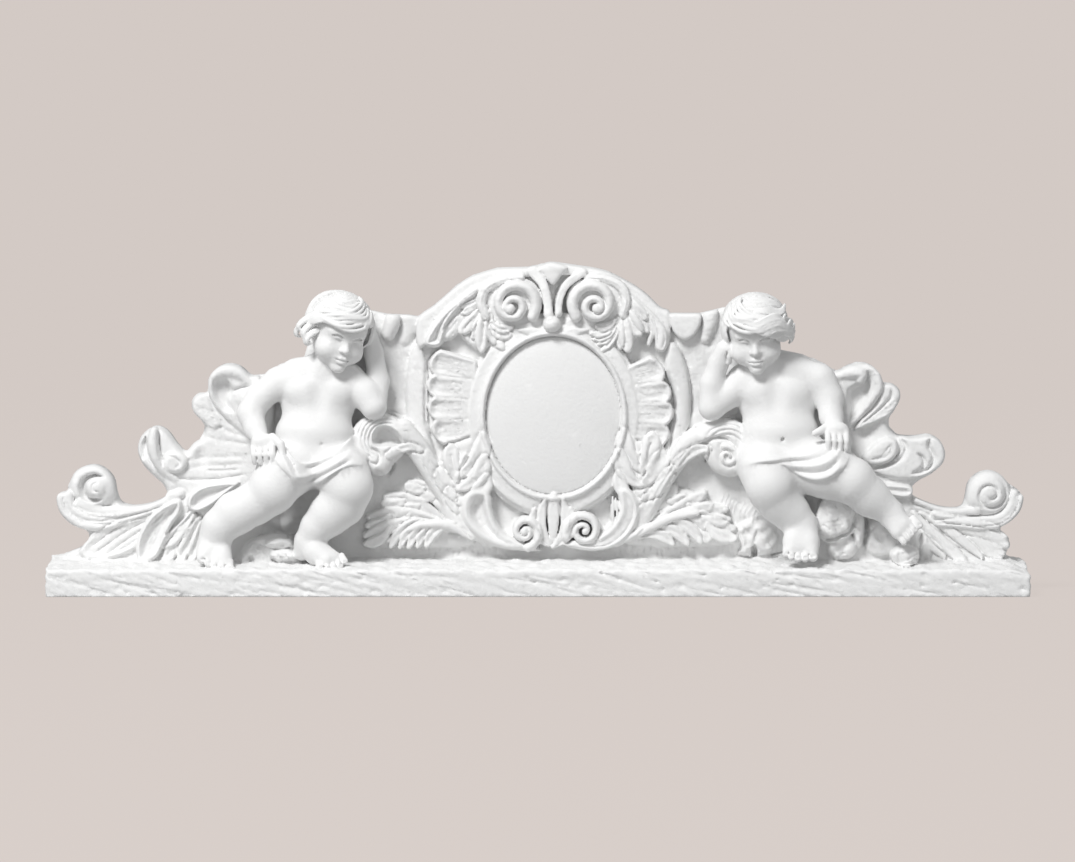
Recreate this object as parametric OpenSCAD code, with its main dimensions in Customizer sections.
// Over-door pediment with two seated children, cast in one piece.
// Frame: +X along the ledge, +Z up, the wall face is the +Y side and the relief faces -Y.
// Depths are measured forward from the wall face, so at(x, depth, z) places a point of the relief.

/* [Ledge] */
// Length of the ledge
ledge_len = 1200; // [1180:1:1440]
// Height of the ledge at its front edge
ledge_h = 31; // [26:1:37]
// Rise of the ledge's top from its front edge to the panel
ledge_rise = 10; // [4:1:14]
// Depth of the ledge from the wall face
ledge_d = 120; // [118:1:150]

/* [Panel] */
// Thickness of the panel that backs the relief
panel_t = 28; // [23:1:34]
// Full height of the pediment
full_h = 408; // [380:1:490]
// Width of the arch over the medallion
arch_w = 330; // [320:1:396]
// Height of the panel's shoulders beside the arch
shoulder_h = 341; // [330:1:350]

/* [Medallion] */
// Width of the plain oval field
oval_w = 164; // [136:1:184]
// Height of the plain oval field
oval_h = 190; // [160:1:200]
// Height of the oval's centre above the underside
oval_z = 217; // [210:1:224]
// Width of the moulded rim round the oval
rim_w = 6; // [4:1:9]
// Bulge of the oval field in front of its edge
oval_bulge = 10; // [6:1:14]
// Offset of the medallion's centre line from the ledge's middle
axis_x = 18; // [10:1:26]

/* [Children] */
// Distance from the medallion's centre line to each child's seat
child_reach = 287; // [276:1:298]
// Size of the children against the carved ones
child_size = 1; // [0.83:0.01:1.2]

/* [Leaf scrolls] */
// Distance from the ledge's end to the end scroll's eye
scroll_inset = 50; // [42:1:60]
// Radius of the two end scrolls
scroll_r = 26; // [21:1:32]
// Radius of the volutes above and below the oval
volute_r = 28; // [24:1:31]

/* [Hidden] */

wall_y = ledge_d / 2;
embed = 8;                       // how deep carving is rooted in the panel
skin = panel_t - embed;          // depth at which carving starts
end_x = ledge_len / 2;
seat_l = axis_x - child_reach;
seat_r = axis_x + child_reach;
eye_l = -end_x + scroll_inset;
eye_r = end_x - scroll_inset;
eye_z = 128;
arch_z = 300;
fine = 8;                        // facets round a limb
head_facets = 10;                // facets round a skull
mid = 6;                         // facets round a scroll or stem
low = 4;                         // facets round a leaf
petal_facets = 9;                // facets round a petal
round_facets = 16;               // facets round a boss
oval_facets = 24;                // facets round the medallion
turn_steps = 9;                  // steps in one turn of a volute

function at(p) = [p[0], wall_y - p[1], p[2]];
function place(seat, p) = [seat + child_size * p[0], panel_t + child_size * (p[1] - panel_t),
                           ledge_h + child_size * (p[2] - ledge_h)];
function mirrored(p, flip) = [axis_x + (flip ? -1 : 1) * p[0], p[1], p[2]];
function ellipse_point(cx, cz, a, b, t) = [cx + a * cos(t), cz + b * sin(t)];

// ---------------------------------------------------------------- shared shapes
module ball(p, r, facets = fine) {
    translate(at(p)) sphere(r, $fn = facets);
}

module limb(p, rp, q, rq, facets = fine) {
    hull() {
        ball(p, rp, facets);
        ball(q, rq, facets);
    }
}

// A run of limbs through points [x, depth, z, radius].
module run(points, facets = mid) {
    for (i = [0 : len(points) - 2])
        limb(points[i], points[i][3], points[i + 1], points[i + 1][3], facets);
}

// A leaf finger: thin at its root, full past its middle and pointed at its tip.
module leaf(root, tip, width, lift = 6) {
    belly = [for (i = [0 : 2]) root[i] * 0.38 + tip[i] * 0.62] + [0, lift, 0];
    hull() {
        ball(root, width * 0.28, low);
        ball(belly, width * 0.5, low);
        ball(tip, width * 0.16, low);
    }
}

// A fan of leaf fingers from one root, between two directions.
module fan(root, from, to, count, reach, width, lift = 6) {
    for (i = [0 : count - 1]) {
        turn = from + (to - from) * i / max(count - 1, 1);
        span = reach * (1 - 0.18 * abs(2 * i / max(count - 1, 1) - 1));
        leaf(root, root + [span * cos(turn), 0, span * sin(turn)], width, lift);
    }
}

// A flat spiral band standing out of the panel; its outer end is at the angle start.
module volute(centre, radius, start, turns, band, front, hand = 1) {
    steps = round(turn_steps * turns);
    function arm(i, side) =
        let (t = i / steps, r = radius * (1 - 0.82 * t) + side * band * (1 - 0.45 * t) / 2)
        [r * cos(start + hand * 360 * turns * t), r * sin(start + hand * 360 * turns * t)];
    outer = [for (i = [0 : steps]) arm(i, 1)];
    inner = [for (i = [steps : -1 : 0]) arm(i, -1)];
    translate([centre[0], wall_y - skin, centre[1]]) rotate([90, 0, 0])
        linear_extrude(front - skin) polygon(concat(outer, inner));
}

// A hollow curled petal: a rounded lobe on a narrow root, with a scooped face.
module petal(p, q, r, front, scoop = 0.6) {
    difference() {
        hull() {
            ball([p[0], skin + 6, p[1]], r * 0.45, mid);
            translate([q[0], wall_y - skin, q[1]]) rotate([90, 0, 0])
                cylinder(r1 = r, r2 = r * 0.85, h = front - skin, $fn = petal_facets);
        }
        if (scoop > 0)
            translate([q[0], wall_y - front + r * 0.5, q[1]]) rotate([90, 0, 0])
                cylinder(r1 = r * 0.2, r2 = r * scoop, h = r * 0.5 + 1, $fn = petal_facets);
    }
}

// ---------------------------------------------------------------- ledge and panel
module ledge() {
    color("whitesmoke") rotate([90, 0, 90]) translate([0, 0, -end_x])
        linear_extrude(ledge_len) polygon([
            [wall_y, 0], [-wall_y, 0], [-wall_y, ledge_h - 3], [-wall_y + 3, ledge_h],
            [wall_y - panel_t, ledge_h + ledge_rise], [wall_y, ledge_h + ledge_rise]]);
}

// The panel's outline, seen from the front: left wing, arch, right wing.
module panel() {
    arch_a = arch_w / 2;
    arch_b = full_h - 3 - arch_z;
    spring = asin((shoulder_h - 2 - arch_z) / arch_b);
    arch = [for (t = [180 - spring : -10 : spring]) ellipse_point(axis_x - 10, arch_z, arch_a, arch_b, t)];
    left = [
        [eye_l - 12, ledge_h], [eye_l - 6, 62], [eye_l + 15, 90], [eye_l + 48, 101], [eye_l + 95, 116],
        [eye_l + 88, 145], [eye_l + 110, 164], [eye_l + 138, 182], [eye_l + 146, 210], [eye_l + 150, 240],
        [eye_l + 172, 262], [seat_l - 72, 258], [seat_l - 45, 272], [seat_l - 15, 284], [seat_l - 4, 334],
        [seat_l + 24, 350], [seat_l + 58, shoulder_h + 3], [seat_l + 76, shoulder_h]];
    right = [
        [seat_r - 90, shoulder_h], [seat_r - 72, 349], [seat_r - 32, 345], [seat_r - 14, 330],
        [seat_r - 6, 292], [seat_r + 24, 289], [seat_r + 60, 267], [eye_r - 166, 267], [eye_r - 140, 260],
        [eye_r - 126, 235], [eye_r - 118, 200], [eye_r - 96, 186], [eye_r - 68, 172], [eye_r - 84, 140],
        [eye_r - 90, 118], [eye_r - 50, 102], [eye_r - 20, 96], [eye_r + 8, 84], [eye_r + 18, 60],
        [eye_r + 20, ledge_h]];
    color("whitesmoke") translate([0, wall_y, 0]) rotate([90, 0, 0]) linear_extrude(panel_t)
        union() {
            polygon(concat(left, arch, right));
            for (x = [eye_l, eye_r]) translate([x, eye_z]) circle(scroll_r + 1, $fn = round_facets);
            translate([axis_x - 4, full_h - 12]) circle(12, $fn = round_facets);
        }
}

// ---------------------------------------------------------------- medallion
module oval(grow, from, to) {
    translate([axis_x, wall_y - from, oval_z]) rotate([90, 0, 0])
        linear_extrude(to - from) scale([oval_w / 2 + grow, oval_h / 2 + grow])
            circle(1, $fn = oval_facets);
}

module medallion() {
    rim_front = panel_t + 24;
    color("white") {
        oval(20, skin, panel_t + 17);
        difference() {
            oval(rim_w, skin, rim_front);
            oval(0, panel_t + 14, rim_front + 1);
        }
        translate(at([axis_x, panel_t + 12, oval_z]))
            scale([oval_w / 2 + 1, oval_bulge + 2, oval_h / 2 + 1]) sphere(1, $fn = round_facets);
    }
}

// Scalloped shell border: five gadroons on each side of the oval.
module shell_border(flip) {
    lobes = 5;
    for (i = [0 : lobes - 1]) {
        z = oval_z + 68 - 28 * i;
        bow = 8 * cos(36 * (i - 2));
        reach = oval_w / 2 + rim_w + 46 + bow;
        color("white") hull() {
            ball(mirrored([oval_w / 2 + 16, panel_t + 2, z + 3 - 2 * i], flip), 9, low);
            ball(mirrored([reach - 10, panel_t + 8, z], flip), 13, mid);
        }
    }
}

// The plain bent strip outside the shell border.
module side_strip(flip) {
    bow = 72;
    rise = 118;
    function reach(t) = oval_w / 2 + 14 + bow * cos(t * 0.9);
    color("white") run([for (t = [-42 : 21 : 42])
        concat(mirrored([reach(t), panel_t - 2, oval_z + 8 + rise * sin(t)], flip), 11)], low);
}

// ---------------------------------------------------------------- scrollwork of the medallion
module top_volutes() {
    color("white") {
        for (flip = [false, true]) {
            centre = mirrored([52, 0, 350], flip);
            volute([centre[0], centre[2]], volute_r, flip ? 170 : 10, 1.6, 12, panel_t + 36, flip ? -1 : 1);
            translate([centre[0], wall_y - skin, centre[2]]) rotate([90, 0, 0])
                cylinder(r = volute_r + 1, h = panel_t + 16 - skin, $fn = round_facets);
            root = mirrored([78, panel_t + 14, 352], flip);
            fan(root, flip ? 175 : 5, flip ? 305 : -125, 4, 50, 17, 9);
            leaf(mirrored([88, panel_t + 6, 368], flip), mirrored([138, panel_t + 8, 308], flip), 17, 6);
        }
        limb([axis_x - 1, panel_t + 24, 331], 9, [axis_x - 1, panel_t + 8, 334], 7, mid);
        run([[axis_x - 2, panel_t + 20, 346, 8], [axis_x - 3, panel_t + 14, 376, 7],
             [axis_x - 3, skin + 2, full_h - 14, 9]], low);
        fan([axis_x - 3, panel_t + 6, full_h - 32], 50, 130, 3, 24, 9, 3);
        run([for (t = [-1 : 1]) [axis_x + 40 * t, panel_t + 12, 320 + 5 * t * t, 6]], low);
    }
}

module lower_scrolls() {
    color("white") {
        for (flip = [false, true]) {
            centre = mirrored([38, 0, 77], flip);
            volute([centre[0], centre[2]], 20, flip ? 300 : 240, 1.4, 10, panel_t + 34, flip ? 1 : -1);
            run([for (p = [[44, 14, 60, 8], [70, 16, 62, 8], [92, 16, 80, 8], [104, 16, 104, 9],
                           [94, 18, 126, 7]])
                concat(mirrored([p[0], panel_t + p[1], p[2]], flip), p[3])], low);
            side_leaf(flip);
        }
        fan([axis_x, panel_t + 16, 66], 62, 118, 3, 48, 12, 8);
    }
}

// The tall acanthus that climbs each side of the oval.
module side_leaf(flip) {
    rib = [[92, 84], [112, 124], [98, 178]];
    run([for (i = [0 : len(rib) - 1])
        concat(mirrored([rib[i][0], panel_t + 14, rib[i][1]], flip), 8 - i)], low);
    for (k = [0 : 1]) {
        leaf(mirrored([110 - 2 * k, panel_t + 14, 112 + 30 * k], flip),
             mirrored([86 + 4 * k, panel_t + 20, 144 + 40 * k], flip), 18, 7);
        leaf(mirrored([108 + k, panel_t + 8, 100 + 34 * k], flip),
             mirrored([140 - 14 * k, panel_t + 10, 150 + 38 * k], flip), 17, 6);
    }
}

// The stem that leaves the lower scroll and curls under a child's elbow.
module elbow_scroll(flip) {
    stem = [[60, 60], [112, 84], [152, 128], [184, 186]];
    centre = mirrored([212, 0, 186], flip);
    color("white") {
        run([for (i = [0 : len(stem) - 1])
            concat(mirrored([stem[i][0], panel_t + 8 + 4 * i, stem[i][1]], flip), 9)]);
        volute([centre[0], centre[2]], 27, flip ? 0 : 180, 1.3, 16, panel_t + 42, flip ? 1 : -1);
        translate([centre[0], wall_y - skin, centre[2]]) rotate([90, 0, 0])
            cylinder(r = 29, h = panel_t + 24 - skin, $fn = round_facets);
        fan(mirrored([120, panel_t + 8, 84], flip), flip ? 138 : 42, flip ? 196 : -16, 5, 104, 19, 12);
    }
}

// ---------------------------------------------------------------- wings behind the children
module left_wing() {
    color("white") {
        petal([seat_l - 62, 196], [eye_l + 164, 253], 29, panel_t + 30, 0.66);
        petal([seat_l - 82, 186], [eye_l + 140, 221], 17, panel_t + 18, 0);
        petal([eye_l + 160, 140], [eye_l + 122, 174], 20, panel_t + 14, 0);
        petal([eye_l + 104, 122], [eye_l + 77, 177], 24, panel_t + 26, 0.64);
        leaf([eye_l + 190, panel_t + 4, 132], [eye_l + 122, panel_t + 8, 108], 26, 4);
        end_scroll(eye_l, true);
        for (k = [0 : 3])
            leaf([eye_l + 96 + 12 * k, panel_t + 1, 103 - 2 * k],
                 [eye_l + 6 + 38 * k, panel_t + 8, 48], 19, 8);
    }
}

module right_wing() {
    color("white") {
        petal([seat_r + 66, 196], [eye_r - 157, 254], 28, panel_t + 28, 0.66);
        petal([seat_r + 82, 186], [eye_r - 122, 238], 18, panel_t + 20, 0);
        petal([eye_r - 156, 140], [eye_r - 118, 176], 21, panel_t + 22, 0.6);
        petal([eye_r - 122, 122], [eye_r - 74, 167], 26, panel_t + 26, 0.64);
        leaf([eye_r - 140, panel_t + 4, 132], [eye_r - 96, panel_t + 8, 127], 20, 4);
        end_scroll(eye_r, false);
        for (k = [0 : 3])
            leaf([eye_r - 86 + 4 * k, panel_t + 1, 103 - 4 * k],
                 [eye_r - 62 + 28 * k, panel_t + 8, 46 + 5 * k], 19, 8);
    }
}

// The spiral that ends a wing, on its sweeping stem.
module end_scroll(eye, flip) {
    s = flip ? 1 : -1;
    volute([eye, eye_z], scroll_r - 5, flip ? 250 : 290, 1.3, 11, panel_t + 22, flip ? -1 : 1);
    stem = [[100, 112, 9], [56, 96, 11], [18, 88, 12], [10 - scroll_r, 96, 11], [-6 - scroll_r, 116, 8]];
    run([for (p = stem) [eye + s * p[0], panel_t + 1.4, p[1], p[2]]], low);
}

// ---------------------------------------------------------------- children
// Joints of a seated child, as [x from the seat, depth, z, radius].
module child(seat, pose) {
    function joint(i) = concat(place(seat, pose[i]), child_size * pose[i][3]);
    function joints(list) = [for (i = list) joint(i)];
    color("white") {
        run(joints([0, 1]), head_facets);               // skull and face
        run(joints([2, 3, 4, 5]), fine);                // neck, chest, belly, hips
        run(joints([6, 3, 10]), fine);                  // shoulders
        run(joints([6, 7, 8, 9]), mid);                 // outer arm and hand
        run(joints([10, 11, 12, 13]), mid);             // arm raised to the head
        run(joints([5, 14, 15, 16, 17]), fine);         // outer leg and foot
        run(joints([5, 18, 19, 20, 21]), fine);         // inner leg and foot
        run(joints([22, 23, 24, 25]), mid);             // cloth across the lap
        run(joints([26, 27, 28]), mid);                 // hair over the brow
        ball(joint(29), joint(29)[3], mid);             // lock of hair at the side
    }
}

left_pose = [
    [24, 64, 330, 41], [30, 78, 308, 31],
    [8, 56, 284, 20], [0, 60, 248, 38], [2, 64, 202, 42], [0, 58, 165, 40],
    [-46, 60, 266, 19], [-79, 56, 234, 15], [-70, 82, 196, 13], [-64, 98, 174, 14],
    [46, 60, 262, 19], [64, 72, 232, 16], [68, 60, 284, 13], [66, 56, 318, 13],
    [-62, 90, 138, 27], [-106, 84, 92, 18], [-128, 84, 62, 14], [-128, 104, 44, 12],
    [34, 90, 134, 26], [6, 84, 96, 17], [-14, 80, 72, 14], [16, 96, 46, 11],
    [-44, 74, 178, 12], [-18, 94, 150, 12], [-2, 96, 146, 12], [40, 76, 172, 12],
    [-10, 88, 340, 14], [22, 96, 342, 14], [48, 88, 334, 14], [-20, 66, 324, 13]];

right_pose = [
    [-48, 62, 328, 40], [-42, 76, 302, 33],
    [-26, 56, 280, 22], [-12, 60, 246, 38], [-8, 64, 202, 42], [-8, 58, 165, 40],
    [42, 58, 264, 21], [58, 62, 232, 16], [56, 84, 204, 13], [58, 96, 188, 13],
    [-54, 62, 258, 18], [-88, 74, 236, 16], [-82, 64, 284, 14], [-80, 64, 306, 13],
    [80, 90, 146, 27], [112, 82, 112, 18], [134, 76, 94, 14], [150, 90, 78, 12],
    [-28, 92, 136, 28], [-4, 86, 104, 20], [14, 82, 82, 16], [14, 98, 58, 14],
    [-34, 76, 172, 12], [4, 94, 164, 12], [34, 98, 156, 14], [66, 90, 176, 12],
    [-76, 84, 328, 14], [-44, 94, 336, 14], [-14, 88, 332, 15], [2, 74, 324, 14]];

// Boulders that the children sit on and the ground under their feet.
module rocks() {
    color("gainsboro") {
        for (p = [[seat_l, 150, 30], [seat_l - 30, 66, 30], [seat_l + 20, 62, 24],
                  [seat_r, 150, 30], [seat_r + 62, 98, 20], [seat_r + 84, 66, 18],
                  [seat_r + 118, 62, 20], [seat_r + 40, 60, 22]])
            hull() {
                ball([p[0], skin + 4, p[1]], p[2], low);
                ball([p[0], panel_t + 22, p[1] - 6], p[2] * 0.55, low);
            }
    }
}

// ---------------------------------------------------------------- the casting
module carving() {
    medallion();
    top_volutes();
    lower_scrolls();
    for (flip = [false, true]) {
        shell_border(flip);
        side_strip(flip);
        elbow_scroll(flip);
    }
    left_wing();
    right_wing();
    rocks();
    child(seat_l, left_pose);
    child(seat_r, right_pose);
}

// The back and underside are cut off flat, where the casting meets the wall and the door head.
module pediment() {
    reach = 2 * (ledge_len + full_h);
    intersection() {
        union() {
            ledge();
            panel();
            carving();
        }
        translate([-reach / 2, wall_y - reach, 0]) cube(reach);
    }
}

pediment();
